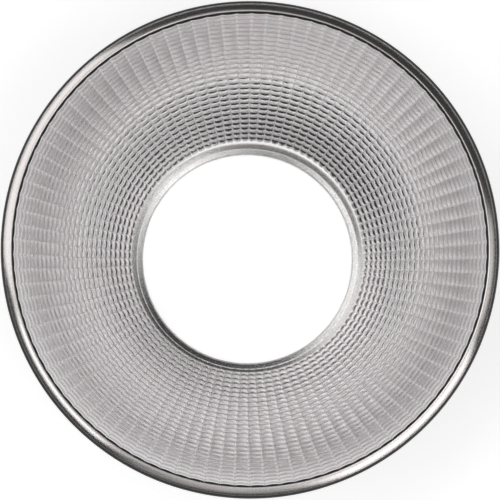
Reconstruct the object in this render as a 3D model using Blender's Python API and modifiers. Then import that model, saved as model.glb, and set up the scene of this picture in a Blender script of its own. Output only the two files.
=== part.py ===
"""Open-face studio light reflector, standing mouth up on its three bayonet lugs.

A bright faceted dish runs down into a smooth neck. A rolled hoop grips the brim at the mouth,
a cast mount holds the neck with clamp screws, and a steel plate behind it carries the lugs.
Lengths are in metres, +Z is the optical axis towards the mouth, and z = 0 is under the lugs.
"""

import math

import bpy

MM = 0.001

# Shared by every joint between two pieces
FIT_GAP = 0.3 * MM
SHEET = 1.0 * MM

# Mouth of the dish and the hoop rolled round it
RIM_RADIUS = 109.0 * MM
HOOP_DIAMETER = 4.9 * MM
RIM_GROOVE = 1.1 * MM
HOOP_SEGMENTS = 10

# Faceted bowl, an arc between the neck and the mouth
DISH_DEPTH = 54.0 * MM
DISH_BULGE = 3.9 * MM
FACET_COLUMNS = 98
FACET_ROWS = 27
OUTSIDE_ROWS = 6

# Neck and the bore that the lamp passes through
BORE_RADIUS = 48.9 * MM
LIP_WIDTH = 3.0 * MM
NECK_LENGTH = 20.0 * MM
NECK_TAPER = 1.85 * MM

# Cast mount: lip under the neck, sleeve round it, flange that seats on the lamp head
LIP_THICKNESS = 3.0 * MM
SLEEVE_HEIGHT = 12.0 * MM
SLEEVE_WALL = 3.5 * MM
FLANGE_THICKNESS = 8.0 * MM
SEAT_WIDTH = 5.2 * MM
ROUND_STEPS = 64

# Bayonet plate let into the back of the cast mount
PLATE_THICKNESS = 2.0 * MM
PLATE_WIDTH = 12.0 * MM
PLATE_STEP = 1.6 * MM

# Bayonet lugs, stamped strip bent to a Z and riveted under the plate
LUG_COUNT = 3
LUG_FIRST_ANGLE = math.radians(90.0)
LUG_REACH = 8.0 * MM
LUG_STRIP = 2.0 * MM
LUG_WIDTH = 18.0 * MM
LUG_FOOT = 4.5 * MM
LUG_SET_IN = 0.5 * MM
LOCK_NOTCH_RADIUS = 2.0 * MM

# Rivets, two to a lug
RIVET_RADIUS = 1.2 * MM
RIVET_HEAD_RADIUS = 1.9 * MM
RIVET_HEAD_HEIGHT = 1.1 * MM
RIVET_SPACING = 10.0 * MM
RIVET_STEPS = 12

# Countersunk screws that hold the plate
PLATE_SCREW_COUNT = 3
PLATE_SCREW_RADIUS = 1.5 * MM
PLATE_SCREW_HEAD_RADIUS = 2.8 * MM
PLATE_SCREW_BITE = 4.0 * MM
SCREW_STEPS = 14

# Pan-head screws through the sleeve, which clamp the neck
CLAMP_SCREW_COUNT = 3
CLAMP_SCREW_RADIUS = 1.6 * MM
CLAMP_HEAD_RADIUS = 3.2 * MM
CLAMP_HEAD_HEIGHT = 2.0 * MM
DRIVE_RADIUS = 1.2 * MM
DRIVE_DEPTH = 0.9 * MM

# Heights, from the feet of the lugs up
SEAT_Z = LUG_REACH
PLATE_TOP_Z = SEAT_Z + PLATE_THICKNESS
RECESS_Z = PLATE_TOP_Z + FIT_GAP
LIP_Z = RECESS_Z + LIP_THICKNESS
NECK_BACK_Z = LIP_Z + FIT_GAP
NECK_FRONT_Z = NECK_BACK_Z + NECK_LENGTH
MOUTH_Z = NECK_FRONT_Z + DISH_DEPTH
FLANGE_TOP_Z = SEAT_Z + FLANGE_THICKNESS
SLEEVE_TOP_Z = FLANGE_TOP_Z + SLEEVE_HEIGHT

# Radii, from the bore and the rim
NECK_BACK_RADIUS = BORE_RADIUS + LIP_WIDTH
NECK_FRONT_RADIUS = NECK_BACK_RADIUS + NECK_TAPER
HOOP_SECTION_RADIUS = HOOP_DIAMETER / 2
HOOP_CENTRE_RADIUS = RIM_RADIUS - HOOP_SECTION_RADIUS
HOOP_CENTRE_Z = MOUTH_Z - SHEET / 2
MOUTH_RADIUS = RIM_RADIUS - HOOP_DIAMETER - RIM_GROOVE
PLATE_BORE = BORE_RADIUS + PLATE_STEP
PLATE_RADIUS = PLATE_BORE + PLATE_WIDTH
RECESS_RADIUS = PLATE_RADIUS + FIT_GAP
FLANGE_RADIUS = RECESS_RADIUS + SEAT_WIDTH
PAD_INNER = PLATE_BORE + LUG_SET_IN
LEG_OUTER = PLATE_RADIUS - LUG_FOOT
LEG_INNER = LEG_OUTER - LUG_STRIP
PAD_TOP_Z = SEAT_Z - FIT_GAP
PAD_BACK_Z = PAD_TOP_Z - LUG_STRIP
RIVET_CIRCLE = (PAD_INNER + LEG_INNER) / 2
PLATE_SCREW_CIRCLE = (NECK_BACK_RADIUS + PLATE_RADIUS) / 2


def neck_outside(z):
    """Radius of the tapered neck's outer wall at a height."""
    share = (z - NECK_BACK_Z) / NECK_LENGTH
    return NECK_BACK_RADIUS + NECK_TAPER * share + SHEET


SLEEVE_RADIUS = neck_outside(SLEEVE_TOP_Z) + FIT_GAP + SLEEVE_WALL
CLAMP_SCREW_Z = FLANGE_TOP_Z + SLEEVE_HEIGHT / 2


def clear_scene():
    """Remove what the scene holds, so that the part stands alone."""
    for obj in list(bpy.data.objects):
        bpy.data.objects.remove(obj, do_unlink=True)


def new_collection(name):
    """Add a collection to the scene."""
    collection = bpy.data.collections.new(name)
    bpy.context.scene.collection.children.link(collection)
    return collection


def metal(name, colour, roughness, metallic=1.0):
    """A Principled material of one colour."""
    material = bpy.data.materials.new(name)
    material.use_nodes = True
    shader = material.node_tree.nodes["Principled BSDF"]
    shader.inputs["Base Color"].default_value = (*colour, 1.0)
    shader.inputs["Roughness"].default_value = roughness
    shader.inputs["Metallic"].default_value = metallic
    return material


def turned(name, profile, steps, collection, material=None, closed=True):
    """Turn a profile of (radius, height) points about Z. It runs down its outer side first."""
    count = len(profile)
    edges = [(i, i + 1) for i in range(count - 1)]
    if closed:
        edges.append((count - 1, 0))
    mesh = bpy.data.meshes.new(name)
    mesh.from_pydata([(radius, 0.0, z) for radius, z in profile], edges, [])
    obj = bpy.data.objects.new(name, mesh)
    collection.objects.link(obj)
    screw = obj.modifiers.new("Turn", "SCREW")
    screw.axis = "Z"
    screw.angle = 2 * math.pi
    screw.steps = steps
    screw.render_steps = steps
    screw.use_merge_vertices = True
    screw.merge_threshold = 0.00001
    screw.use_smooth_shade = True
    if material:
        mesh.materials.append(material)
    return obj


def as_cutter(obj):
    """Mark an object as a helper that only cuts."""
    obj.hide_render = True
    obj.display_type = "WIRE"
    return obj


def cut(obj, cutter):
    """Subtract a cutter from an object."""
    boolean = obj.modifiers.new(f"Cut {cutter.name}", "BOOLEAN")
    boolean.operation = "DIFFERENCE"
    boolean.solver = "EXACT"
    boolean.object = cutter


def place_on_axis(obj, radius, angle, tangent=0.0, z=0.0):
    """Stand an object parallel to Z at a radius and angle, moved sideways along the tangent."""
    x = radius * math.cos(angle) - tangent * math.sin(angle)
    y = radius * math.sin(angle) + tangent * math.cos(angle)
    obj.location = (x, y, z)
    obj.rotation_euler = (0.0, 0.0, angle)


def angles(count, first):
    """Evenly spaced angles round the axis."""
    return [first + 2 * math.pi * i / count for i in range(count)]


def bowl_arc(rows):
    """Points of the bowl's inner arc, from the mouth down to the neck."""
    run = MOUTH_RADIUS - NECK_FRONT_RADIUS
    chord = math.hypot(run, DISH_DEPTH)
    half_sweep = 2 * math.atan(2 * DISH_BULGE / chord)
    arc_radius = chord / (2 * math.sin(half_sweep))
    chord_slope = math.atan2(DISH_DEPTH, run)
    points = []
    for i in range(rows + 1):
        turn = half_sweep - 2 * half_sweep * i / rows
        along = chord / 2 + arc_radius * math.sin(turn)
        out = arc_radius * (math.cos(turn) - math.cos(half_sweep))
        radius = NECK_FRONT_RADIUS + along * math.cos(chord_slope) + out * math.sin(chord_slope)
        z = NECK_FRONT_Z + along * math.sin(chord_slope) - out * math.cos(chord_slope)
        points.append((radius, z))
    return points


def inner_wall(rows):
    """Inner face of the dish: brim, bowl in rows, then the smooth neck."""
    brim = (HOOP_CENTRE_RADIUS, MOUTH_Z)
    neck_end = (NECK_BACK_RADIUS, NECK_BACK_Z)
    return [brim, *bowl_arc(rows), neck_end]


def normal_of(start, end):
    """Unit normal of a downward step, pointing out of the bowl."""
    run = end[0] - start[0]
    drop = end[1] - start[1]
    length = math.hypot(run, drop)
    return -drop / length, run / length


def mitred(points, distance):
    """The same polyline moved outwards, with its corners mitred."""
    normals = [normal_of(a, b) for a, b in zip(points, points[1:])]
    moved = []
    for i, (radius, z) in enumerate(points):
        before = normals[max(i - 1, 0)]
        after = normals[min(i, len(normals) - 1)]
        share = distance / (1 + before[0] * after[0] + before[1] * after[1])
        moved.append((radius + share * (before[0] + after[0]), z + share * (before[1] + after[1])))
    return moved


def reflector_dish(parts, material):
    """Spun sheet with flat facets inside, a brim at the mouth and a smooth neck."""
    outside = mitred(inner_wall(OUTSIDE_ROWS), SHEET)
    inside = inner_wall(FACET_ROWS)
    outside[-1] = (outside[-1][0], NECK_BACK_Z)
    return turned("reflector_dish", outside + inside[::-1], FACET_COLUMNS, parts, material)


def rim_hoop(parts, material):
    """Round rolled hoop, slotted on its inner side to grip the brim."""
    half_slot = SHEET / 2 + FIT_GAP
    slot_end = HOOP_CENTRE_RADIUS + FIT_GAP
    start = math.pi - math.asin(half_slot / HOOP_SECTION_RADIUS)
    profile = []
    for i in range(HOOP_SEGMENTS + 1):
        angle = start - 2 * start * i / HOOP_SEGMENTS
        radius = HOOP_CENTRE_RADIUS + HOOP_SECTION_RADIUS * math.cos(angle)
        profile.append((radius, HOOP_CENTRE_Z + HOOP_SECTION_RADIUS * math.sin(angle)))
    profile.append((slot_end, HOOP_CENTRE_Z - half_slot))
    profile.append((slot_end, HOOP_CENTRE_Z + half_slot))
    return turned("rim_hoop", profile, FACET_COLUMNS, parts, material)


def mount_casting(parts, material):
    """Cast sleeve round the neck, with the lip under it and the seating flange."""
    profile = [
        (SLEEVE_RADIUS, SLEEVE_TOP_Z),
        (SLEEVE_RADIUS, FLANGE_TOP_Z),
        (FLANGE_RADIUS, FLANGE_TOP_Z),
        (FLANGE_RADIUS, SEAT_Z),
        (RECESS_RADIUS, SEAT_Z),
        (RECESS_RADIUS, RECESS_Z),
        (BORE_RADIUS, RECESS_Z),
        (BORE_RADIUS, LIP_Z),
        (neck_outside(LIP_Z) + FIT_GAP, LIP_Z),
        (neck_outside(SLEEVE_TOP_Z) + FIT_GAP, SLEEVE_TOP_Z),
    ]
    return turned("mount_casting", profile, ROUND_STEPS, parts, material)


def bayonet_plate(parts, material):
    """Flat steel ring that carries the lugs."""
    profile = [
        (PLATE_RADIUS, PLATE_TOP_Z),
        (PLATE_RADIUS, SEAT_Z),
        (PLATE_BORE, SEAT_Z),
        (PLATE_BORE, PLATE_TOP_Z),
    ]
    return turned("bayonet_plate", profile, ROUND_STEPS, parts, material)


def bayonet_lug(name, angle, parts, material):
    """Z-bent strip: a pad under the plate, a leg down and a foot outwards."""
    outline = [
        (PAD_INNER, PAD_TOP_Z),
        (LEG_OUTER, PAD_TOP_Z),
        (LEG_OUTER, LUG_STRIP),
        (PLATE_RADIUS, LUG_STRIP),
        (PLATE_RADIUS, 0.0),
        (LEG_INNER, 0.0),
        (LEG_INNER, PAD_BACK_Z),
        (PAD_INNER, PAD_BACK_Z),
    ]
    mesh = bpy.data.meshes.new(name)
    side = [(radius, LUG_WIDTH / 2, z) for radius, z in outline]
    mesh.from_pydata(side, [], [list(range(len(side)))])
    obj = bpy.data.objects.new(name, mesh)
    parts.objects.link(obj)
    obj.rotation_euler = (0.0, 0.0, angle)
    thick = obj.modifiers.new("Width", "SOLIDIFY")
    thick.thickness = LUG_WIDTH
    thick.offset = -1.0
    mesh.materials.append(material)
    return obj


def stem_profile(head_radius, head_height, stem_radius, stem_length, crown):
    """Headed stem, head up: a domed or flat head with its underside at z = 0."""
    profile = [(0.0, head_height), (head_radius * crown, head_height)]
    if crown < 1.0:
        profile.append((head_radius, head_height / 2))
    profile += [(head_radius, 0.0), (stem_radius, 0.0), (stem_radius, -stem_length), (0.0, -stem_length)]
    return profile


def lug_rivet(name, angle, tangent, parts, material):
    """Rivet, head down under the pad, its stem up through the pad and the plate."""
    length = PLATE_TOP_Z - PAD_BACK_Z + FIT_GAP
    profile = stem_profile(RIVET_HEAD_RADIUS, RIVET_HEAD_HEIGHT, RIVET_RADIUS, length, 0.6)
    obj = turned(name, profile, RIVET_STEPS, parts, material, closed=False)
    place_on_axis(obj, RIVET_CIRCLE, angle, tangent, PAD_BACK_Z - FIT_GAP)
    obj.rotation_euler = (math.pi, 0.0, angle)
    return obj


def rivet_hole(name, angle, tangent, cutters):
    """Drill through the pad and the plate for one rivet."""
    radius = RIVET_RADIUS + FIT_GAP
    top = PLATE_TOP_Z + LUG_STRIP
    bottom = PAD_BACK_Z - LUG_STRIP
    profile = [(0.0, top), (radius, top), (radius, bottom), (0.0, bottom)]
    obj = turned(name, profile, RIVET_STEPS, cutters, closed=False)
    place_on_axis(obj, RIVET_CIRCLE, angle, tangent)
    return as_cutter(obj)


def lock_notch(angle, cutters):
    """Half-round notch in the edge of one foot, for the lamp head's lock pin."""
    top = LUG_STRIP * 2
    profile = [(0.0, top), (LOCK_NOTCH_RADIUS, top), (LOCK_NOTCH_RADIUS, -top), (0.0, -top)]
    obj = turned("lock_notch_cut", profile, RIVET_STEPS, cutters, closed=False)
    place_on_axis(obj, PLATE_RADIUS, angle)
    return as_cutter(obj)


def plate_screw_profile(grow):
    """Countersunk screw, head down, flush with the plate's back; grow widens it for its hole."""
    head = PLATE_SCREW_HEAD_RADIUS + grow
    stem = PLATE_SCREW_RADIUS + grow
    cone_top = SEAT_Z + PLATE_SCREW_HEAD_RADIUS - PLATE_SCREW_RADIUS
    tip = RECESS_Z + PLATE_SCREW_BITE + grow
    back = SEAT_Z - grow
    return [(0.0, tip), (stem, tip), (stem, cone_top), (head, back), (0.0, back)]


def plate_screw(name, angle, parts, material):
    """Countersunk screw from the plate into the casting, with a round drive recess."""
    profile = plate_screw_profile(0.0)[:-1]
    profile += [(DRIVE_RADIUS, SEAT_Z), (DRIVE_RADIUS, SEAT_Z + DRIVE_DEPTH), (0.0, SEAT_Z + DRIVE_DEPTH)]
    obj = turned(name, profile, SCREW_STEPS, parts, material, closed=False)
    place_on_axis(obj, PLATE_SCREW_CIRCLE, angle)
    return obj


def plate_screw_hole(name, angle, cutters):
    """Clearance for one plate screw, through the plate and into the casting."""
    obj = turned(name, plate_screw_profile(FIT_GAP), SCREW_STEPS, cutters, closed=False)
    place_on_axis(obj, PLATE_SCREW_CIRCLE, angle)
    return as_cutter(obj)


def point_outwards(obj, radius, angle):
    """Turn an object's +Z to point away from the axis, at the clamp screws' height."""
    obj.location = (radius * math.cos(angle), radius * math.sin(angle), CLAMP_SCREW_Z)
    obj.rotation_euler = (0.0, math.pi / 2, angle)


def clamp_screw(name, angle, parts, material):
    """Pan-head screw through the sleeve, its tip on the neck."""
    underside = SLEEVE_RADIUS + FIT_GAP
    tip = neck_outside(CLAMP_SCREW_Z + CLAMP_SCREW_RADIUS) + FIT_GAP
    floor = CLAMP_HEAD_HEIGHT - DRIVE_DEPTH
    profile = stem_profile(CLAMP_HEAD_RADIUS, CLAMP_HEAD_HEIGHT, CLAMP_SCREW_RADIUS, underside - tip, 0.8)
    recess = [(0.0, floor), (DRIVE_RADIUS, floor), (DRIVE_RADIUS, CLAMP_HEAD_HEIGHT)]
    obj = turned(name, recess + profile[1:], SCREW_STEPS, parts, material, closed=False)
    point_outwards(obj, underside, angle)
    return obj


def clamp_screw_hole(name, angle, cutters):
    """Clearance for one clamp screw through the sleeve's wall."""
    radius = CLAMP_SCREW_RADIUS + FIT_GAP
    reach = SLEEVE_WALL * 2
    profile = [(0.0, reach), (radius, reach), (radius, -reach), (0.0, -reach)]
    obj = turned(name, profile, SCREW_STEPS, cutters, closed=False)
    point_outwards(obj, SLEEVE_RADIUS, angle)
    return as_cutter(obj)


def build():
    """Make every piece and cut the holes that its fasteners pass through."""
    clear_scene()
    parts = new_collection("studio_light_reflector")
    cutters = new_collection("cutters")

    bright = metal("faceted_aluminium", (0.86, 0.86, 0.87), 0.18)
    rolled = metal("rolled_rim", (0.62, 0.59, 0.57), 0.2)
    cast = metal("cast_mount", (0.40, 0.39, 0.39), 0.5)
    steel = metal("plated_steel", (0.66, 0.66, 0.67), 0.32)
    fixing = metal("fixings", (0.55, 0.55, 0.56), 0.35)

    reflector_dish(parts, bright)
    rim_hoop(parts, rolled)
    casting = mount_casting(parts, cast)
    plate = bayonet_plate(parts, steel)

    lug_angles = angles(LUG_COUNT, LUG_FIRST_ANGLE)
    for number, angle in enumerate(lug_angles, 1):
        lug = bayonet_lug(f"bayonet_lug_{number}", angle, parts, steel)
        for side, tangent in (("a", -RIVET_SPACING / 2), ("b", RIVET_SPACING / 2)):
            lug_rivet(f"lug_rivet_{number}{side}", angle, tangent, parts, fixing)
            hole = rivet_hole(f"rivet_hole_{number}{side}", angle, tangent, cutters)
            cut(lug, hole)
            cut(plate, hole)
    cut(lug, lock_notch(lug_angles[-1], cutters))

    between_lugs = LUG_FIRST_ANGLE + math.pi / LUG_COUNT
    for number, angle in enumerate(angles(PLATE_SCREW_COUNT, between_lugs), 1):
        plate_screw(f"plate_screw_{number}", angle, parts, fixing)
        hole = plate_screw_hole(f"plate_screw_hole_{number}", angle, cutters)
        cut(plate, hole)
        cut(casting, hole)

    for number, angle in enumerate(angles(CLAMP_SCREW_COUNT, between_lugs), 1):
        clamp_screw(f"clamp_screw_{number}", angle, parts, fixing)
        cut(casting, clamp_screw_hole(f"clamp_hole_{number}", angle, cutters))


build()
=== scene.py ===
"""Looks of an open-face studio light reflector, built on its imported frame.

The bright faceted bowl, the rolled rim, the cast mount, the bayonet lugs and the fixings are
numpy surfaces that stand where the solids they replace stand; the bayonet plate stays as packed.
Lengths are in metres, +Z is the optical axis towards the mouth, and z = 0 is under the lugs.
"""

import logging
import math
from dataclasses import dataclass
from enum import Enum
from typing import Any, Mapping, Sequence

import bpy
import numpy as np
from mathutils import Matrix, Vector


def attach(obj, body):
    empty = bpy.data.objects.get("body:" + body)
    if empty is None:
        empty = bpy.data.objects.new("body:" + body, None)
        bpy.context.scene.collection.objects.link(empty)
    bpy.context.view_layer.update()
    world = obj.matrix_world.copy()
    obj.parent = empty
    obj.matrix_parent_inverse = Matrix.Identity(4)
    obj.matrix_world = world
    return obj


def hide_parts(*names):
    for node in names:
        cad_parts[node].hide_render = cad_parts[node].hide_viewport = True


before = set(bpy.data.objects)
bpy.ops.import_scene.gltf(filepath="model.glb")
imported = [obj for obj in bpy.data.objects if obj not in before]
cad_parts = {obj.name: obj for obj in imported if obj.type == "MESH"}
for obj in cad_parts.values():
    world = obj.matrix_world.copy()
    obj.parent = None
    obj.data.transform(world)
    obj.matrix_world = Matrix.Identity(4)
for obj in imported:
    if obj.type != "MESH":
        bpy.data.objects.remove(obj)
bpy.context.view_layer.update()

MM = 0.001
TURN = 2 * math.pi
LOG = logging.getLogger("studio_reflector")

Colour = tuple[float, float, float, float]
Triple = tuple[float, float, float]


class Ends(Enum):
    """How the first and last rows of a grid end."""

    JOINED = "the last row joins the first"
    CAPPED = "a flat face closes each end"
    FLOOR = "a flat face closes the first row alone"


def ring_quads(rows: int, columns: int, wrap: bool) -> np.ndarray:
    """Corner numbers of the quads on a grid whose columns close into a ring.

    Point (row, column) has the number row * columns + column. Each quad runs along the ring
    first and down the rows second, so a profile that keeps its body on the left faces outwards.

    Args:
        rows: Number of profile points.
        columns: Number of points round the ring.
        wrap: Whether the last row joins the first one.

    Returns:
        An array of quads, four corner numbers each.
    """
    row = np.arange(rows if wrap else rows - 1)[:, None] * columns
    below = (row + columns) % (rows * columns)
    here = np.arange(columns)[None, :]
    beside = (here + 1) % columns
    corners = [row + here, row + beside, below + beside, below + here]
    return np.stack(corners, axis=-1).reshape(-1, 4)


def add_piece(name: str, points: np.ndarray, ends: Ends, crease: float = 30.0) -> bpy.types.Object:
    """Put a grid of points into a mesh object.

    Args:
        name: Name of the new object.
        points: Grid of points, rows by columns by three.
        ends: How the first and last rows end.
        crease: Edges that turn by more than this, in degrees, stay sharp.

    Returns:
        The new object, linked to the scene.
    """
    rows, columns, _ = points.shape
    quads = ring_quads(rows, columns, ends is Ends.JOINED)
    caps = [np.arange(columns)[::-1]] if ends is not Ends.JOINED else []
    caps += [np.arange(columns) + (rows - 1) * columns] if ends is Ends.CAPPED else []
    sizes = np.concatenate([np.full(len(quads), 4), np.full(len(caps), columns)])
    corners = np.concatenate([quads.ravel(), *caps]).astype(np.int32)
    mesh = bpy.data.meshes.new(name)
    mesh.vertices.add(rows * columns)
    mesh.vertices.foreach_set("co", points.astype(np.float32).ravel())
    mesh.loops.add(len(corners))
    mesh.loops.foreach_set("vertex_index", corners)
    mesh.polygons.add(len(sizes))
    mesh.polygons.foreach_set("loop_start", (np.cumsum(sizes) - sizes).astype(np.int32))
    mesh.update(calc_edges=True)
    mesh.shade_smooth()
    mesh.set_sharp_from_angle(angle=math.radians(crease))
    piece = bpy.data.objects.new(name, mesh)
    bpy.context.scene.collection.objects.link(piece)
    return piece


def turned(radii: np.ndarray, heights: np.ndarray, angles: np.ndarray) -> np.ndarray:
    """Carry a profile round Z: x = r cos a, y = r sin a, z = height.

    Args:
        radii: Radius of each profile point, one value or one for each angle.
        heights: Height of each profile point, one value or one for each angle.
        angles: Angles round the axis.

    Returns:
        Grid of points, profile by angles by three.
    """
    radii = np.asarray(radii, float).reshape(len(radii), -1)
    heights = np.asarray(heights, float).reshape(len(heights), -1)
    x = radii * np.cos(angles)
    y = radii * np.sin(angles)
    return np.stack([x, y, np.broadcast_to(heights, x.shape)], axis=-1)


def round_angles(count: int) -> np.ndarray:
    """Evenly spaced angles of one full turn."""
    return np.arange(count) * TURN / count


def add_turned(name: str, loop: np.ndarray, columns: int) -> bpy.types.Object:
    """Carry a closed section of (radius, height) points round Z, as one closed mesh."""
    points = turned(loop[:, 0], loop[:, 1], round_angles(columns))
    return add_piece(name, points, Ends.JOINED)


def rounded(outline: Sequence[Triple], steps: int) -> np.ndarray:
    """Round the corners of a closed outline.

    Each corner becomes a quadratic curve from a point on the edge before it to a point on the
    edge after it, both as far from the corner as its rounding says:
    p = (1 - t)^2 start + 2 t (1 - t) corner + t^2 end.

    Args:
        outline: Corners as (radius, height, rounding).
        steps: Steps along each rounded corner.

    Returns:
        Array of (radius, height) points.
    """
    data = np.array(outline, float)
    corner = data[:, :2]
    size = data[:, 2:]
    back = np.roll(corner, 1, axis=0) - corner
    ahead = np.roll(corner, -1, axis=0) - corner
    start = corner + back * size / np.linalg.norm(back, axis=1, keepdims=True)
    end = corner + ahead * size / np.linalg.norm(ahead, axis=1, keepdims=True)
    t = np.linspace(0.0, 1.0, steps + 1)[None, :, None]
    curve = (1 - t) ** 2 * start[:, None] + 2 * t * (1 - t) * corner[:, None] + t**2 * end[:, None]
    return curve.reshape(-1, 2)


def shrunk(loop: np.ndarray, distance: float) -> np.ndarray:
    """Move each point of a closed loop towards its body, along the mean normal of its two edges.

    Args:
        loop: Points as (radius, height), with the body on the left.
        distance: How far each point moves.

    Returns:
        The moved loop.
    """
    along = np.roll(loop, -1, axis=0) - np.roll(loop, 1, axis=0)
    inwards = np.stack([-along[:, 1], along[:, 0]], axis=-1)
    return loop + distance * inwards / np.linalg.norm(inwards, axis=1, keepdims=True)


def carried(
    out: np.ndarray | float, along: np.ndarray | float, height: np.ndarray | float, angle: float
) -> np.ndarray:
    """Turn places about Z: x = out cos a - along sin a, y = out sin a + along cos a.

    Args:
        out: Way outwards from the axis.
        along: Way sideways, square to it.
        height: Way up.
        angle: Turn about the axis.

    Returns:
        The places, with x, y and z on the last axis.
    """
    x = out * math.cos(angle) - along * math.sin(angle)
    y = out * math.sin(angle) + along * math.cos(angle)
    return np.stack([x, y, height], axis=-1)


class Wire:
    """A shader value that takes part in Python arithmetic; each operation adds a Math node."""

    def __init__(self, board: "Board", socket: bpy.types.NodeSocket) -> None:
        """Keep the socket and the node board that it belongs to."""
        self.board = board
        self.socket = socket

    def _math(self, operation: str, first: Any, second: Any = 0.0) -> "Wire":
        """Add one Math node."""
        return self.board.node("ShaderNodeMath", {"operation": operation}, {0: first, 1: second})

    def __add__(self, other: Any) -> "Wire":
        """Sum."""
        return self._math("ADD", self, other)

    __radd__ = __add__

    def __sub__(self, other: Any) -> "Wire":
        """Difference."""
        return self._math("SUBTRACT", self, other)

    def __rsub__(self, other: Any) -> "Wire":
        """Difference, with the number first."""
        return self._math("SUBTRACT", other, self)

    def __mul__(self, other: Any) -> "Wire":
        """Product."""
        return self._math("MULTIPLY", self, other)

    __rmul__ = __mul__

    def __truediv__(self, other: Any) -> "Wire":
        """Quotient."""
        return self._math("DIVIDE", self, other)

    def __pow__(self, other: float) -> "Wire":
        """Power."""
        return self._math("POWER", self, other)

    def angle_from(self, x: "Wire") -> "Wire":
        """Angle of the point (x, this value), from -pi to pi."""
        return self._math("ARCTAN2", self, x)

    def fraction(self) -> "Wire":
        """What is left of the value over the last whole number."""
        return self._math("FRACT", self)

    def magnitude(self) -> "Wire":
        """The value without its sign."""
        return self._math("ABSOLUTE", self)

    def clamped(self) -> "Wire":
        """The value held between 0 and 1."""
        return self.board.node("ShaderNodeClamp", {}, {"Value": self})

    def sibling(self, output: int | str) -> "Wire":
        """Another output of the node that this wire comes from."""
        return Wire(self.board, self.socket.node.outputs[output])


class Board:
    """The node board of one material or world."""

    def __init__(self, owner: bpy.types.ID) -> None:
        """Clear the owner's nodes.

        Args:
            owner: Material or world that holds the nodes.
        """
        owner.use_nodes = True
        self.tree = owner.node_tree
        self.tree.nodes.clear()

    def node(
        self,
        kind: str,
        settings: Mapping[str, Any] | None = None,
        sockets: Mapping[int | str, Any] | None = None,
        output: int | str = 0,
    ) -> Wire:
        """Add any node.

        Args:
            kind: The node's type.
            settings: Its own settings, set first.
            sockets: Values or wires for its inputs.
            output: The output that is handed back.

        Returns:
            The wire from that output.
        """
        made = self.tree.nodes.new(kind)
        for key, value in (settings or {}).items():
            setattr(made, key, value)
        for key, value in (sockets or {}).items():
            if isinstance(value, Wire):
                self.tree.links.new(value.socket, made.inputs[key])
            else:
                made.inputs[key].default_value = value
        return Wire(self, made.outputs[output] if made.outputs else None)

    def place(self) -> Wire:
        """Object coordinates."""
        return self.node("ShaderNodeTexCoord", output="Object")

    def axes(self) -> tuple[Wire, Wire, Wire]:
        """Object coordinates as three values."""
        x = self.node("ShaderNodeSeparateXYZ", {}, {0: self.place()})
        return x, x.sibling(1), x.sibling(2)

    def radius(self) -> Wire:
        """Distance from the optical axis: the root of x^2 + y^2."""
        x, y, _ = self.axes()
        return (x * x + y * y) ** 0.5

    def attribute(self, name: str) -> Wire:
        """Value of a mesh attribute."""
        return self.node("ShaderNodeAttribute", {"attribute_name": name}, {}, "Fac")

    def noise(self, scale: float, detail: float = 2.0) -> Wire:
        """Noise between 0 and 1.

        Args:
            scale: Noise cells per metre.
            detail: Number of finer layers.

        Returns:
            The noise value.
        """
        values = {"Vector": self.place(), "Scale": scale, "Detail": detail}
        return self.node("ShaderNodeTexNoise", {}, values)

    def mix(self, share: Wire, low: Any, high: Any) -> Wire:
        """Mix two colours.

        Args:
            share: 0 gives the first colour, 1 the second.
            low: First colour.
            high: Second colour.

        Returns:
            The mixed colour.
        """
        return self.node("ShaderNodeMix", {"data_type": "RGBA"}, {0: share, 6: low, 7: high}, 2)

    def bump(self, height: Wire, strength: float, distance: float) -> Wire:
        """Normal that follows a height.

        Args:
            height: The height, 0 to 1.
            strength: Share of the bump that is used.
            distance: What a height of 1 measures.

        Returns:
            The bent normal.
        """
        values = {"Strength": strength, "Distance": distance, "Height": height}
        return self.node("ShaderNodeBump", {}, values)

    def finish(self, sockets: Mapping[str, Any]) -> None:
        """Join a Principled shader to the output."""
        shader = self.node("ShaderNodeBsdfPrincipled", {}, sockets)
        self.node("ShaderNodeOutputMaterial", {}, {"Surface": shader})


@dataclass(frozen=True)
class Paint:
    """Black satin paint on the outside, over the bare metal's edge; on the dish's brim in the rim's
    groove the same black is painted shade.
    """

    colour: Colour = (0.016, 0.016, 0.017, 1.0)
    roughness: float = 0.42
    roughness_spread: float = 0.12
    peel_scale: float = 420.0


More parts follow.
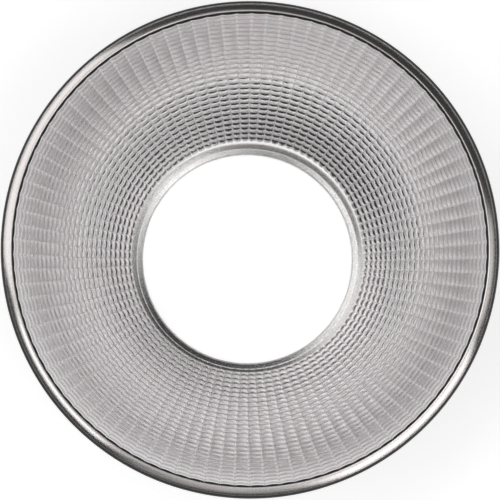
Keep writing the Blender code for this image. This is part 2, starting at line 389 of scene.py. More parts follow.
@dataclass(frozen=True)
class SheetFinish:
    """Bright anodised sheet inside, black paint outside, told apart by the paint attribute; the same
    black on the brim in the rim's groove is painted shade.
    """

    columns: int
    first_column: float
    colour: Colour = (0.83, 0.81, 0.815, 1.0)
    dulled: Colour = (0.66, 0.635, 0.64, 1.0)
    # valley: painted shade, a darker colour laid along the creases between facet rows
    valley: Colour = (0.50, 0.485, 0.49, 1.0)
    # painted highlight, a lighter colour laid along the valleys between facet columns
    painted_highlight: Colour = (0.92, 0.91, 0.91, 1.0)
    roughness: float = 0.06
    roughness_spread: float = 0.06
    mouth_roughness: float = 0.06
    edge_roughness: float = 0.4
    satin_start: float = 74.0 * MM
    satin_full: float = 100.0 * MM
    cloud_scale: float = 45.0
    cloud_share: float = 0.4
    column_power: float = 8.0
    row_power: float = 10.0
    grain_scale: float = 2600.0
    grain_lift: float = 0.25
    bump_strength: float = 0.25
    bump_depth: float = 0.12 * MM
    paint: Paint = Paint()

    def facet_places(self, board: Board) -> tuple[Wire, Wire]:
        """How far a point lies from the middle of its facet, from 0 to 1 at the facet's edge.

        Args:
            board: The material's node board.

        Returns:
            s across the column, from the angle, and t across the row, from an attribute.
        """
        x, y, _ = board.axes()
        column_place = (y.angle_from(x) / TURN + 1) * self.columns - self.first_column
        s = (2 * column_place.fraction() - 1).magnitude()
        t = (2 * board.attribute("row_place").fraction() - 1).magnitude()
        return s, t

    def material(self) -> bpy.types.Material:
        """Clouds vary tone and roughness; fine noise lifts the metal, coarser noise the paint.

        The sheet grows more satin and a little duller with the radius, from satin start to satin
        full. Painted shade darkens the valleys between facet rows, by t^2. A painted highlight
        lightens the valleys between columns at the middle of each row, by s^8 (1 - t^2). Close to
        its edges a facet bends sharply, which a rougher line stands for: 1 - (1 - s^8)(1 - t^10).

        Returns:
            The new material.
        """
        made = bpy.data.materials.new("bright_sheet")
        board = Board(made)
        # paint attribute: real black paint on the outside, and painted shade on the brim in the
        # rim's groove
        painted = board.attribute("paint")
        embossed = board.attribute("embossed")
        bare = 1 - painted
        cloud = board.noise(self.cloud_scale, 3.0)
        grain = board.noise(self.grain_scale, 1.0)
        peel = board.noise(self.paint.peel_scale)
        satin = (board.radius() - self.satin_start) / (self.satin_full - self.satin_start)
        satin = satin.clamped()
        s, t = self.facet_places(board)
        column_line = s**self.column_power
        haze = self.cloud_share * cloud + (1 - self.cloud_share) * satin
        metal = board.mix(haze.clamped(), self.colour, self.dulled)
        # painted shade in the creases between facet rows, strongest at each row's edge
        metal = board.mix(embossed * t**2, metal, self.valley)
        # painted highlight along the valleys between columns, at the middle of each row
        metal = board.mix(embossed * column_line * (1 - t**2), metal, self.painted_highlight)
        edge = embossed * (1 - (1 - column_line) * (1 - t**self.row_power))
        rough_metal = self.roughness + self.roughness_spread * cloud + self.mouth_roughness * satin
        rough_metal = rough_metal + self.edge_roughness * edge
        rough_paint = self.paint.roughness + self.paint.roughness_spread * (cloud - 0.5)
        height = bare * grain * self.grain_lift + painted * peel
        board.finish(
            {
                "Base Color": board.mix(painted, metal, self.paint.colour),
                "Metallic": bare,
                "Roughness": bare * rough_metal + painted * rough_paint,
                "Normal": board.bump(height, self.bump_strength, self.bump_depth),
            }
        )
        return made


@dataclass(frozen=True)
class RimFinish:
    """Polished rolled bead with spinning lines, its outer side under the black paint."""

    centre_radius: float
    centre_height: float
    colour: Colour = (0.70, 0.665, 0.655, 1.0)
    roughness: float = 0.13
    roughness_spread: float = 0.08
    cloud_scale: float = 70.0
    paint_way: tuple[float, float] = (0.94, -0.5)
    paint_edge: float = 0.45 * MM
    edge_softness: float = 0.35 * MM
    ragged_width: float = 0.5 * MM
    ragged_scale: float = 260.0
    line_scale: float = 2400.0
    line_wander: float = 2.0
    line_lift: float = 0.2
    bump_strength: float = 0.2
    bump_depth: float = 0.08 * MM
    paint: Paint = Paint()

    def material(self) -> bpy.types.Material:
        """Paint lies where the way out and down from the bead's centre passes a ragged edge.

        Returns:
            The new material.
        """
        made = bpy.data.materials.new("rolled_bead")
        board = Board(made)
        _, _, z = board.axes()
        outwards = board.radius() - self.centre_radius
        rise = z - self.centre_height
        ragged = (board.noise(self.ragged_scale) - 0.5) * self.ragged_width
        reach = self.paint_way[0] * outwards + self.paint_way[1] * rise + ragged - self.paint_edge
        painted = (reach / self.edge_softness + 0.5).clamped()
        bare = 1 - painted
        lines = board.node(
            "ShaderNodeTexWave",
            {"wave_type": "RINGS", "rings_direction": "Z"},
            {
                "Vector": board.place(),
                "Scale": self.line_scale,
                "Distortion": self.line_wander,
                "Detail": 2.0,
            },
            "Fac",
        )
        cloud = board.noise(self.cloud_scale, 3.0)
        peel = board.noise(self.paint.peel_scale)
        rough_metal = self.roughness + self.roughness_spread * cloud
        height = bare * lines * self.line_lift + painted * peel
        board.finish(
            {
                "Base Color": board.mix(painted, self.colour, self.paint.colour),
                "Metallic": bare,
                "Roughness": bare * rough_metal + painted * self.paint.roughness,
                "Normal": board.bump(height, self.bump_strength, self.bump_depth),
            }
        )
        return made


@dataclass(frozen=True)
class MetalFinish:
    """Bare metal with cloudy tone and a fine grain."""

    name: str
    colour: Colour
    dulled: Colour
    roughness: float
    roughness_spread: float
    grain_scale: float
    grain_depth: float
    grain_strength: float = 0.5
    grain_share: float = 0.8
    cloud_scale: float = 120.0
    cloud_share: float = 0.6
    clear_share: float = 0.2
    turned_radius: float = 0.0
    turned_roughness: float = 0.1
    turned_edge: float = 0.5 * MM
    turned_calm: float = 0.6

    def material(self) -> bpy.types.Material:
        """Coarse noise mixes the two tones, fine noise makes the grain and its roughness.

        Inside the turned radius the metal is machined, so it is smoother and calmer there.

        Returns:
            The new material.
        """
        made = bpy.data.materials.new(self.name)
        board = Board(made)
        cloud = board.noise(self.cloud_scale, 4.0)
        grain = board.noise(self.grain_scale)
        share = self.cloud_share * cloud + self.grain_share * grain - self.clear_share
        machined = ((self.turned_radius - board.radius()) / self.turned_edge).clamped()
        base = self.roughness + (self.turned_roughness - self.roughness) * machined
        spread = self.roughness_spread * grain * (1 - self.turned_calm * machined)
        board.finish(
            {
                "Base Color": board.mix(share.clamped(), self.colour, self.dulled),
                "Metallic": 1.0,
                "Roughness": base + spread,
                "Normal": board.bump(grain, self.grain_strength, self.grain_depth),
            }
        )
        return made


class Metal(Enum):
    """The bare metals behind the dish."""

    CAST = MetalFinish(
        name="blasted_casting",
        colour=(0.84, 0.83, 0.82, 1.0),
        dulled=(0.56, 0.55, 0.55, 1.0),
        roughness=0.26,
        roughness_spread=0.2,
        grain_scale=2100.0,
        grain_depth=0.2 * MM,
        turned_radius=53.0 * MM,
    )
    PLATED = MetalFinish(
        name="zinc_plated_strip",
        colour=(0.66, 0.66, 0.68, 1.0),
        dulled=(0.50, 0.50, 0.53, 1.0),
        roughness=0.26,
        roughness_spread=0.16,
        grain_scale=1500.0,
        grain_depth=0.04 * MM,
    )
    FIXING = MetalFinish(
        name="plated_fixing",
        colour=(0.58, 0.58, 0.59, 1.0),
        dulled=(0.42, 0.42, 0.44, 1.0),
        roughness=0.24,
        roughness_spread=0.14,
        grain_scale=1800.0,
        grain_depth=0.03 * MM,
    )


def dress(piece: bpy.types.Object, material: bpy.types.Material) -> None:
    """Give a piece one material."""
    piece.data.materials.clear()
    piece.data.materials.append(material)


def seat(piece: bpy.types.Object, material: bpy.types.Material, slot: str, *nodes: str) -> None:
    """Dress a piece and let it stand for CAD nodes and ride on the part.

    Args:
        piece: The new piece.
        material: What it is dressed with.
        slot: The record's material slot; not used.
        nodes: The CAD nodes that it replaces.
    """
    dress(piece, material)
    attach(piece, "root")
    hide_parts(*nodes)
    LOG.info("%s: %d faces, for %s", piece.name, len(piece.data.polygons), ", ".join(nodes))


@dataclass
class FacetedDish:
    """Spun dish: brim, faceted bowl and smooth neck, one sheet."""

    mouth_radius: float = 103.4 * MM
    mouth_height: float = 87.6 * MM
    brim_radius: float = 106.55 * MM
    brim_start: float = 103.8 * MM
    brim_drop: float = 0.5 * MM
    scallop_step: float = 0.05 * MM
    neck_front: tuple[float, float] = (53.75 * MM, 33.6 * MM)
    neck_back: tuple[float, float] = (51.9 * MM, 13.6 * MM)
    neck_steps: int = 8
    hip_drop: float = 0.6 * MM
    wall_shares: tuple[float, ...] = (0.0, 0.42, 1.0)
    wall_slopes: tuple[float, ...] = (38.0, 41.0, 60.0)
    wall_parts: int = 8
    sheet: float = 1.0 * MM
    outside_rows: int = 12
    columns: int = 98
    column_steps: int = 6
    first_column: float = 0.43
    rows: int = 27
    row_steps: int = 5
    row_shift: float = 0.4
    mouth_crown: float = 0.34 * MM
    neck_crown: float = 0.22 * MM
    mouth_pillow: float = 0.045 * MM
    neck_pillow: float = 0.09 * MM
    cell_tilt: float = 0.012
    row_reach: float = 1.5 * MM
    crease: float = 9.0
    seed: int = 7

    def bowl_wall(self, count: int) -> tuple[np.ndarray, np.ndarray]:
        """Section of the plain bowl, from the mouth down to the neck.

        The wall leaves the neck almost as a cone, then grows steeper up to the mouth: its slope
        is read from the stops. Radius and height are the running sums of cos(slope) and
        sin(slope), each stretched a little to end exactly at the mouth.

        Args:
            count: Number of steps along the wall.

        Returns:
            The points as (radius, height), and their unit normals into the bowl.
        """
        share = np.linspace(0.0, 1.0, count * self.wall_parts + 1)
        slope = np.radians(np.interp(share, self.wall_shares, self.wall_slopes))
        middle = (slope[1:] + slope[:-1]) / 2
        out = np.append(0.0, np.cumsum(np.cos(middle)))
        up = np.append(0.0, np.cumsum(np.sin(middle)))
        run = (self.mouth_radius - self.neck_front[0]) / out[-1]
        rise = (self.mouth_height - self.neck_front[1]) / up[-1]
        points = np.stack([out * run, up * rise], axis=-1) + np.array(self.neck_front)
        normal = np.stack([-rise * np.sin(slope), run * np.cos(slope)], axis=-1)
        normal /= np.linalg.norm(normal, axis=1, keepdims=True)
        picked = slice(None, None, -self.wall_parts)
        return points[picked], normal[picked]

    def row_places(self, number: np.ndarray) -> np.ndarray:
        """Way down the bowl in facet rows, from the number of a ring of points below the mouth."""
        return number / self.row_steps - self.row_shift

    def pillows(self, radius: np.ndarray) -> np.ndarray:
        """Height of the embossed pillows over the plain bowl.

        Each cell is a low cushion: height = a (1 - s^2) + b (1 - t^2), where s and t run from
        -1 to 1 across its column and its row. With the way down the bowl, a goes from the mouth
        crown to the neck crown and b from the mouth pillow to the neck pillow.
        A small seeded tilt of each cell adds c s + d t, eased to nothing at its edges.

        Args:
            radius: Radius of each ring of points.

        Returns:
            Heights, rings by columns of points.
        """
        row_place = self.row_places(np.arange(len(radius)))
        column_place = np.arange(self.columns * self.column_steps) / self.column_steps
        t = (2 * (row_place % 1.0) - 1)[:, None]
        s = 2 * (column_place % 1.0) - 1
        way_down = np.linspace(0.0, 1.0, len(radius))[:, None]
        crown = self.mouth_crown + (self.neck_crown - self.mouth_crown) * way_down
        pillow = self.mouth_pillow + (self.neck_pillow - self.mouth_pillow) * way_down
        dice = np.random.default_rng(self.seed)
        tilts = dice.normal(0.0, self.cell_tilt, (2, self.rows + 1, self.columns))
        cell_row = np.floor(row_place).astype(int)
        tilt_s, tilt_t = tilts[:, cell_row][:, :, column_place.astype(int)]
        half_width = math.pi * radius[:, None] / self.columns
        tilted = tilt_s * s * half_width + tilt_t * t * self.row_reach
        ease = (1 - t**2) * (1 - s**2)
        return crown * (1 - s**2) + pillow * (1 - t**2) + ease * tilted

    def bright_side(self) -> tuple[np.ndarray, np.ndarray]:
        """Bowl with its pillows, then the smooth neck.

        Returns:
            Radii and heights, rings by columns of points.
        """
        wall, normal = self.bowl_wall(self.rows * self.row_steps)
        swell = self.pillows(wall[:, 0])
        share = np.linspace(0.0, 1.0, self.neck_steps + 1)[1:, None]
        neck = np.array(self.neck_front) * (1 - share) + np.array(self.neck_back) * share
        smooth = np.zeros((self.neck_steps, swell.shape[1]))
        radii = np.concatenate([wall[:, :1] + normal[:, :1] * swell, neck[:, :1] + smooth])
        heights = np.concatenate([wall[:, 1:] + normal[:, 1:] * swell, neck[:, 1:] + smooth])
        return radii, heights

    def painted_side(self) -> np.ndarray:
        """Outside of the sheet, from the foot of the neck up to the edge of the brim.

        Returns:
            Array of (radius, height) points.
        """
        under_brim = self.mouth_height - self.sheet
        wall, normal = self.bowl_wall(self.outside_rows)
        outer = (wall - normal * self.sheet)[::-1]
        outer[:, 1] = np.minimum(outer[:, 1], under_brim)
        foot = (self.neck_back[0] + self.sheet, self.neck_back[1])
        hip = (self.neck_front[0] + self.sheet, self.neck_front[1] - self.hip_drop)
        return np.concatenate([[foot, hip], outer[1:], [(self.brim_radius, under_brim)]])

    def build(self) -> bpy.types.Object:
        """Loop of the sheet's section: brim, bowl, neck, then back up the outside.

        Returns:
            The dish as one closed mesh, with the attributes that its finish reads.
        """
        angles = round_angles(self.columns * self.column_steps)
        angles = angles + self.first_column * TURN / self.columns
        even = np.ones_like(angles)
        low = self.mouth_height - self.brim_drop
        brim = np.array([(self.brim_radius, low), (self.brim_start, low)])
        bright_r, bright_z = self.bright_side()
        scallop_r = bright_r[:1] + self.scallop_step
        scallop_z = bright_z[:1] - self.brim_drop
        outside = self.painted_side()
        radii = np.concatenate([brim[:, :1] * even, scallop_r, bright_r, outside[:, :1] * even])
        heights = np.concatenate([brim[:, 1:] * even, scallop_z, bright_z, outside[:, 1:] * even])
        piece = add_piece("faceted_dish", turned(radii, heights, angles), Ends.JOINED, self.crease)
        below_mouth = np.arange(len(radii)) - len(brim) - 1
        layers = {
            # rows before the mouth, the brim and the scallop step, take the black as painted shade
            # of the rim's groove; rows after the neck take the outside's real paint
            "paint": (below_mouth < 0) | (below_mouth >= len(bright_r)),
            "embossed": (below_mouth >= 0) & (below_mouth <= self.rows * self.row_steps),
            "row_place": self.row_places(below_mouth),
        }
        for name, values in layers.items():
            layer = piece.data.attributes.new(name, "FLOAT", "POINT")
            layer.data.foreach_set("value", np.repeat(values, len(angles)).astype(np.float32))
        return piece

    def fit(self) -> None:
        """Build the dish and seat it."""
        finish = SheetFinish(self.columns, self.first_column)
        seat(self.build(), finish.material(), "faceted_aluminium", "reflector_dish")


@dataclass
class RolledRim:
    """Rolled bead round the mouth, slotted inside for the brim."""

    centre_radius: float = 106.55 * MM
    centre_height: float = 87.1 * MM
    outer_radius: float = 109.0 * MM
    crown_height: float = 89.55 * MM
    half_slot: float = 0.8 * MM
    slot_start: float = 104.25 * MM
    slot_end: float = 106.85 * MM
    foot_chamfer: float = 0.8 * MM
    lean_stops: tuple[float, ...] = (-80.0, 8.0, 17.0, 32.0, 40.0, 90.0, 180.0)
    bend_stops: tuple[float, ...] = (0.35, 0.35, 10.3, 10.3, 1.75, 1.75, 1.85)
    section_steps: int = 130
    columns: int = 392

    def roll(self) -> np.ndarray:
        """Section of the roll, from its inner edge over the crown and down to its foot.

        The curve is given by how far it leans: a step of d lean along a bend of radius R goes
        R cos(lean) d lean outwards and R sin(lean) d lean down. The bend is tight at the inner
        edge, slack over the crown and tighter again round the outside. The stops give the bend,
        in millimetres, at each lean, in degrees.

        Returns:
            Array of (radius, height) points.
        """
        degrees = np.linspace(self.lean_stops[0], self.lean_stops[-1], self.section_steps + 1)
        lean = np.radians(degrees)
        bend = np.interp(degrees, self.lean_stops, self.bend_stops) * MM
        step = lean[1] - lean[0]
        out = np.cumsum(bend * np.cos(lean)) * step
        down = np.cumsum(bend * np.sin(lean)) * step
        radius = self.outer_radius + out - out.max()
        height = self.crown_height - (down - down.min())
        return np.stack([radius, height], axis=-1)

    def build(self) -> bpy.types.Object:
        """Close the roll with the slot for the brim and carry it round.

        Returns:
            The rim as one closed mesh.
        """
        over = self.roll()[::-1]
        upper = self.centre_height + self.half_slot
        lower = self.centre_height - self.half_slot
        foot = over[0, 1]
        inside = [
            (self.slot_start, upper),
            (self.slot_end, upper),
            (self.slot_end, lower),
            (self.slot_start, lower),
            (self.slot_start, foot + self.foot_chamfer),
            (self.slot_start + self.foot_chamfer, foot),
        ]
        return add_turned("rolled_rim", np.concatenate([over, inside]), self.columns)

    def fit(self) -> None:
        """Build the rim and seat it."""
        finish = RimFinish(self.centre_radius, self.centre_height)
        seat(self.build(), finish.material(), "rolled_rim", "rim_hoop")


@dataclass
class CastMount:
    """Cast sleeve with the seating flange and the lip that shows through the neck."""

    sleeve_radius: float = 58.0320 * MM
    sleeve_top: float = 28.0 * MM
    sleeve_round: float = 1.0 * MM
    sleeve_fillet: float = 2.0 * MM
    flange_radius: float = 68.0 * MM
    flange_top: float = 16.0 * MM
    flange_front_round: float = 1.4 * MM
    flange_back_round: float = 0.8 * MM
    seat_height: float = 8.0 * MM
    recess_radius: float = 62.8 * MM
    recess_height: float = 10.3 * MM
    bore_radius: float = 48.9 * MM
    bore_front_round: float = 0.25 * MM
    bore_back_round: float = 0.4 * MM
    lip_height: float = 13.3 * MM
    lip_round: float = 0.2 * MM
    bead_width: float = 0.45 * MM
    bead_rise: float = 0.25 * MM
    bead_round: float = 0.15 * MM
    groove_width: float = 0.3 * MM
    groove_depth: float = 0.15 * MM
    groove_slant: float = 0.05 * MM
    groove_round: float = 0.08 * MM
    cone_edge: float = 51.75 * MM
    cone_drop: float = 0.85 * MM
    socket_low: float = 53.1722 * MM
    socket_high: float = 54.5320 * MM
    edge_round: float = 0.3 * MM
    fine_round: float = 0.1 * MM
    corner_steps: int = 5
    columns: int = 256

    def outline(self) -> list[Triple]:
        """Corners of the section, with the body on the left.

        Returns:
            The corners as (radius, height, rounding).
        """
        bead = self.bore_radius + self.bead_width
        groove = bead + self.groove_width
        top = self.lip_height
        cone_foot = top - self.cone_drop
        bead_top = cone_foot + self.bead_rise
        valley = cone_foot - self.groove_depth
        return [
            (self.socket_high, self.sleeve_top, self.edge_round),
            (self.socket_low, top, self.lip_round),
            (self.cone_edge, top, self.lip_round),
            (groove, cone_foot, self.fine_round),
            (groove - self.groove_slant, valley, self.groove_round),
            (bead + self.groove_slant, valley, self.groove_round),
            (bead, bead_top, self.bead_round),
            (self.bore_radius, bead_top, self.bore_front_round),
            (self.bore_radius, self.recess_height, self.bore_back_round),
            (self.recess_radius, self.recess_height, self.fine_round),
            (self.recess_radius, self.seat_height, self.edge_round),
            (self.flange_radius, self.seat_height, self.flange_back_round),
            (self.flange_radius, self.flange_top, self.flange_front_round),
            (self.sleeve_radius, self.flange_top, self.sleeve_fillet),
            (self.sleeve_radius, self.sleeve_top, self.sleeve_round),
        ]

    def build(self) -> bpy.types.Object:
        """Turn the rounded section into one closed mesh."""
        return add_turned("cast_mount", rounded(self.outline(), self.corner_steps), self.columns)

    def fit(self) -> None:
        """Build the mount and seat it."""
        seat(self.build(), Metal.CAST.value.material(), "cast_mount", "mount_casting")


@dataclass(frozen=True)
class Fixing:
    """A headed fixing, turned about +Z with its head up and the underside of the head at z = 0."""

    head_radius: float
    head_height: float
    stem_radius: float
    stem_length: float
    dome: float = 0.0
    cone_height: float = 0.0
    socket_radius: float = 0.0
    socket_depth: float = 0.9 * MM
    socket_land: float = 0.14 * MM
    socket_taper: float = 0.96
    centre_radius: float = 0.06 * MM
    head_break: float = 0.12 * MM
    under_break: float = 0.1 * MM
    tip_break: float = 0.2 * MM
    crown_rings: int = 7
    columns: int = 48

    def points(self) -> np.ndarray:
        """Rings from the middle of the head to the tip of the stem.

        The head's top falls as dome * (r / head radius)^2. A six-sided socket has rings of
        r = flat / cos(a to the nearest flat), with its floor below the top. A countersunk head
        falls straight from its edge to the stem over the cone's height.

        Returns:
            Grid of points, rings by angles by three.
        """
        angles = round_angles(self.columns)
        hexagon = math.cos(math.pi / 6) / np.cos((angles % (TURN / 6)) - math.pi / 6)
        circle = np.ones_like(angles)
        top = self.head_height
        rings: list[tuple[np.ndarray, float]] = []
        inner = self.centre_radius
        if self.socket_radius:
            floor = top - self.socket_depth
            rings += [(inner * hexagon, floor)]
            rings += [(self.socket_radius * self.socket_taper * hexagon, floor)]
            rings += [(self.socket_radius * hexagon, top - self.head_break)]
            inner = self.socket_radius + self.socket_land
        crown = np.linspace(inner, self.head_radius, self.crown_rings)
        crown[-1] -= self.head_break
        rings += [(r * circle, top - self.dome * (r / self.head_radius) ** 2) for r in crown]
        shoulder = top - self.dome - self.head_break
        rings += [(self.head_radius * circle, shoulder)]
        if self.cone_height:
            rings += [(self.stem_radius * circle, shoulder - self.cone_height)]
        else:
            rings += [(self.head_radius * circle, self.under_break)]
            rings += [((self.head_radius - self.under_break) * circle, 0.0)]
            rings += [(self.stem_radius * circle, 0.0)]
        rings += [(self.stem_radius * circle, self.tip_break - self.stem_length)]
        rings += [((self.stem_radius - self.tip_break) * circle, -self.stem_length)]
        radii = np.array([ring for ring, _ in rings])
        heights = np.array([height for _, height in rings])
        return turned(radii[::-1], heights[::-1], angles)

    def add(self, name: str, origin: np.ndarray, angle: float, tip: float) -> bpy.types.Object:
        """Stand the fixing at its place.

        Args:
            name: Name of the new object.
            origin: Where the underside of its head goes.
            angle: Turn about the reflector's axis.
            tip: How far +Z leans over, towards the outside at 90 degrees and down at 180.

        Returns:
            The fixing as one closed mesh.
        """
        turn = np.array(Matrix.Rotation(angle, 3, "Z") @ Matrix.Rotation(tip, 3, "Y"))
        return add_piece(name, self.points() @ turn.T + origin, Ends.CAPPED)


@dataclass
class Bayonet:
    """Three hooked lugs with their rivets, the plate and the screws that hold it."""

    mount: CastMount
    plate_radius: float = 62.5 * MM
    pad_inner: float = 51.0 * MM
    leg_inner: float = 56.0 * MM
    leg_outer: float = 58.0 * MM
    pad_top: float = 7.7 * MM
    pad_back: float = 5.7 * MM
    strip: float = 2.0 * MM
    strip_round: float = 0.4 * MM
    bend_round: float = 0.5 * MM
    width: float = 18.0 * MM
    notch: float = 2.0 * MM
    foot_margin: float = 0.02 * MM
    chamfer: float = 0.3 * MM
    stations: int = 45
    corner_steps: int = 6
    lug_count: int = 3
    first_angle: float = math.pi / 2
    rivet_circle: float = 53.5 * MM
    rivet_spacing: float = 10.0 * MM
    screw_circle: float = 57.2 * MM
    clamp_height: float = 22.0 * MM
    rivet: Fixing = Fixing(
        head_radius=1.9 * MM,
        head_height=1.1 * MM,
        stem_radius=1.2 * MM,
        stem_length=4.0 * MM,
        dome=0.75 * MM,
    )
    flat_screw: Fixing = Fixing(
        head_radius=2.8 * MM,
        head_height=0.12 * MM,
        stem_radius=1.5 * MM,
        stem_length=5.9 * MM,
        cone_height=1.3 * MM,
        socket_radius=1.2 * MM,
    )
    pan_screw: Fixing = Fixing(
        head_radius=3.2 * MM,
        head_height=2.0 * MM,
        stem_radius=1.6 * MM,
        stem_length=3.6 * MM,
        dome=0.7 * MM,
        socket_radius=1.2 * MM,
    )

    def angles(self, shift: float) -> list[float]:
        """Angles of the lugs round the axis, or of what is shifted from them by part of a gap."""
        steps = [place + shift for place in range(self.lug_count)]
        return [self.first_angle + TURN * step / self.lug_count for step in steps]

    def lug_points(self, notched: bool, angle: float) -> np.ndarray:
        """Bent strip: its rounded section is carried along the width, with chamfered ends.

        Where the lug is notched, no point of the foot is further out than
        plate radius - sqrt(notch^2 - t^2), with t the way along the width.

        Args:
            notched: Whether the foot has the notch for the lock pin.
            angle: The lug's place round the axis.

        Returns:
            Grid of points, stations by section by three.
        """
        outer_bend = self.strip + self.bend_round
        outline = [
            (self.pad_inner, self.pad_top, self.strip_round),
            (self.pad_inner, self.pad_back, self.strip_round),
            (self.leg_inner, self.pad_back, self.bend_round),
            (self.leg_inner, 0.0, outer_bend),
            (self.plate_radius, 0.0, self.strip_round),
            (self.plate_radius, self.strip, self.strip_round),
            (self.leg_outer, self.strip, self.bend_round),
            (self.leg_outer, self.pad_top, outer_bend),
        ]
        loop = rounded(outline, self.corner_steps)
        inset = shrunk(loop, self.chamfer)[None]
        half = self.width / 2
        middle = np.linspace(self.chamfer - half, half - self.chamfer, self.stations)
        along = -np.concatenate([[-half], middle, [half]])[:, None]
        section = np.concatenate([inset, np.repeat(loop[None], self.stations, axis=0), inset])
        radius = section[..., 0]
        height = section[..., 1]
        if notched:
            limit = self.plate_radius - np.sqrt(np.maximum(self.notch**2 - along**2, 0.0))
            in_foot = height <= self.strip + self.foot_margin
            radius = np.where(in_foot, np.minimum(radius, limit), radius)
        return carried(radius, along, height, angle)

    def lugs(self, strip_finish: bpy.types.Material, fixing_finish: bpy.types.Material) -> None:
        """Build the lugs, the last one notched, and their rivets.

        Args:
            strip_finish: Material of the lugs.
            fixing_finish: Material of the rivets.
        """
        for number, angle in enumerate(self.angles(0.0), start=1):
            points = self.lug_points(number == self.lug_count, angle)
            lug = add_piece(f"lug_strip_{number}", points, Ends.CAPPED)
            seat(lug, strip_finish, "plated_steel", f"bayonet_lug_{number}")
            for side, along in (("a", -self.rivet_spacing / 2), ("b", self.rivet_spacing / 2)):
                place = carried(self.rivet_circle, along, self.pad_back, angle)
                rivet = self.rivet.add(f"round_rivet_{number}{side}", place, angle, math.pi)
                seat(rivet, fixing_finish, "fixings", f"lug_rivet_{number}{side}")

    def screws(self, fixing_finish: bpy.types.Material) -> None:
        """Build the plate's countersunk screws and the sleeve's clamp screws, between the lugs.

        Args:
            fixing_finish: Material of the screws.
        """
        flush = self.mount.seat_height + self.flat_screw.head_height
        for number, angle in enumerate(self.angles(0.5), start=1):
            low = carried(self.screw_circle, 0.0, flush, angle)
            flat = self.flat_screw.add(f"flat_screw_{number}", low, angle, math.pi)
            seat(flat, fixing_finish, "fixings", f"plate_screw_{number}")
            side = carried(self.mount.sleeve_radius, 0.0, self.clamp_height, angle)
            pan = self.pan_screw.add(f"pan_screw_{number}", side, angle, math.pi / 2)
            seat(pan, fixing_finish, "fixings", f"clamp_screw_{number}")

    def fit(self) -> None:
        """Build the lugs and fixings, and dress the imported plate."""
        strip_finish = Metal.PLATED.value.material()
        fixing_finish = Metal.FIXING.value.material()
        self.lugs(strip_finish, fixing_finish)
        self.screws(fixing_finish)
        dress(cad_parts["bayonet_plate"], strip_finish)
        LOG.info("bayonet_plate: kept as packed")


@dataclass(frozen=True)
class Softbox:
    """A flat soft light that faces the mouth from a direction round the optical axis."""

    name: str
    azimuth: float
    lean: float
    size: tuple[float, float]
    level: float
    distance: float = 0.9
    focus: Triple = (0.0, 0.0, 0.0871)

    def hang(self) -> None:
        """Add the light: its length lies in the plane of the axis, its level is its own brightness.

        An area lamp of power P and area A shines with P / (pi A), so P = level * pi * A.
        """
        lamp = bpy.data.lights.new(self.name, "AREA")
        lamp.shape = "RECTANGLE"
        lamp.size, lamp.size_y = self.size
        lamp.energy = self.level * math.pi * self.size[0] * self.size[1]
        turn = Matrix.Rotation(math.radians(self.azimuth), 4, "Z")
        lean = Matrix.Rotation(math.radians(self.lean), 4, "Y")
        reach = Matrix.Translation((0.0, 0.0, self.distance))
        holder = bpy.data.objects.new(self.name, lamp)
        holder.matrix_world = Matrix.Translation(self.focus) @ turn @ lean @ reach
        holder.visible_camera = False
        bpy.context.scene.collection.objects.link(holder)


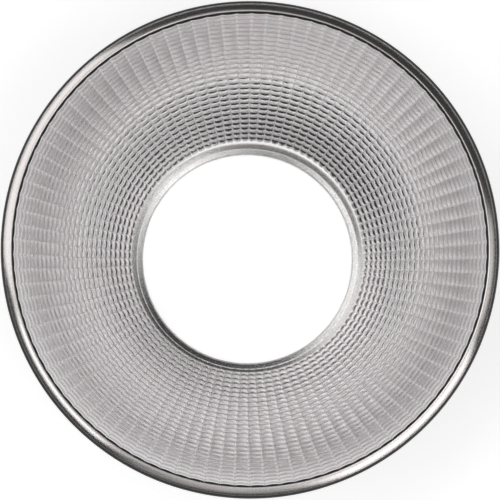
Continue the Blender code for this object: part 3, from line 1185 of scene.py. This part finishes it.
@dataclass
class Studio:
    """White cove, soft lights and the camera over the mouth."""

    disc_radii: tuple[float, float] = (0.4, 1.5)
    floor_radius: float = 3.0
    cove_radius: float = 1.0
    cove_points: int = 13
    cove_columns: int = 96
    wall_height: float = 1.25
    matt_white: float = 0.9
    near_white: float = 0.56
    far_white: float = 0.97
    near_radius: float = 0.4
    far_radius: float = 1.4
    air: float = 0.05
    camera_target: Triple = (-0.00025, -0.0009, 0.0871)
    camera_way: Triple = (-0.0197, -0.0677, 0.9975)
    camera_distance: float = 0.981
    lens: float = 161.75
    sensor_width: float = 36.0
    lights: tuple[Softbox, ...] = (
        Softbox("overhead_panel", azimuth=225.0, lean=4.0, size=(1.2, 1.2), level=0.58),
        Softbox("upper_left_softbox", azimuth=152.0, lean=52.0, size=(0.5, 0.85), level=1.2),
        Softbox("lower_right_softbox", azimuth=315.0, lean=50.0, size=(0.44, 0.65), level=1.6),
        Softbox("left_panel", azimuth=212.0, lean=43.0, size=(0.22, 0.45), level=1.8),
        Softbox("right_panel", azimuth=0.0, lean=48.0, size=(0.3, 0.3), level=0.7),
        Softbox("low_panel", azimuth=265.0, lean=51.0, size=(0.17, 0.7), level=0.4),
        Softbox("right_key", azimuth=335.0, lean=19.0, size=(0.26, 0.5), level=1.2),
        Softbox("left_key", azimuth=145.0, lean=19.0, size=(0.28, 0.5), level=1.6),
    )

    def floor_finish(self) -> bpy.types.Material:
        """Matt white, with a glow that camera, glossy and transmission rays alone can see.

        The glow is weaker near the object, so that the lamps' own light there still draws the
        object's shadow, and grows to far white between the near and the far radius.

        Returns:
            The new material.
        """
        made = bpy.data.materials.new("pale_floor")
        board = Board(made)
        camera_ray = board.node("ShaderNodeLightPath", output="Is Camera Ray")
        seen = camera_ray + camera_ray.sibling("Is Glossy Ray")
        seen = (seen + camera_ray.sibling("Is Transmission Ray")).clamped()
        away = (board.radius() - self.near_radius) / (self.far_radius - self.near_radius)
        level = self.near_white + (self.far_white - self.near_white) * away.clamped()
        white = (self.matt_white, self.matt_white, self.matt_white, 1.0)
        matt = board.node("ShaderNodeBsdfDiffuse", {}, {"Color": white})
        glow = board.node("ShaderNodeEmission", {}, {"Color": seen * level, "Strength": 1.0})
        shown = board.node("ShaderNodeAddShader", {}, {0: matt, 1: glow})
        board.node("ShaderNodeOutputMaterial", {}, {"Surface": shown})
        return made

    def cove(self) -> None:
        """Floor that rolls up into a round wall: a flat disc, a quarter circle, then straight up."""
        bend = np.linspace(-math.pi / 2, 0.0, self.cove_points)
        wall_radius = self.floor_radius + self.cove_radius
        rolled_radius = self.floor_radius + self.cove_radius * np.cos(bend)
        rolled_height = self.cove_radius * (1 + np.sin(bend))
        radius = np.concatenate([self.disc_radii, rolled_radius, [wall_radius]])
        height = np.concatenate([[0.0, 0.0], rolled_height, [self.wall_height]])
        points = turned(radius, height, round_angles(self.cove_columns))
        floor = add_piece("floor", points, Ends.FLOOR)
        dress(floor, self.floor_finish())

    def air_light(self) -> None:
        """Plain grey light from all round."""
        world = bpy.data.worlds.new("plain_air")
        board = Board(world)
        values = {"Color": (1.0, 1.0, 1.0, 1.0), "Strength": self.air}
        glow = board.node("ShaderNodeBackground", {}, values)
        board.node("ShaderNodeOutputWorld", {}, {"Surface": glow})
        bpy.context.scene.world = world

    def camera(self) -> None:
        """Camera over the mouth, with the picture's upward way along +Y."""
        back = Vector(self.camera_way).normalized()
        right = Vector((0.0, 1.0, 0.0)).cross(back).normalized()
        up = back.cross(right)
        data = bpy.data.cameras.new("front_camera")
        data.lens = self.lens
        data.sensor_width = self.sensor_width
        holder = bpy.data.objects.new("front_camera", data)
        holder.rotation_euler = Matrix((right, up, back)).transposed().to_euler()
        holder.location = Vector(self.camera_target) + back * self.camera_distance
        bpy.context.scene.collection.objects.link(holder)
        bpy.context.scene.camera = holder

    def set_up(self) -> None:
        """Build the cove, hang the lights and place the camera."""
        self.cove()
        self.air_light()
        for light in self.lights:
            light.hang()
        self.camera()
        bpy.context.scene.view_settings.view_transform = "Standard"


def main() -> None:
    """Build every sub-assembly, set up the studio and note the sizes."""
    logging.basicConfig(level=logging.INFO, format="%(name)s %(message)s")
    FacetedDish().fit()
    RolledRim().fit()
    mount = CastMount()
    mount.fit()
    Bayonet(mount).fit()
    Studio().set_up()


if __name__ == "__main__":
    main()
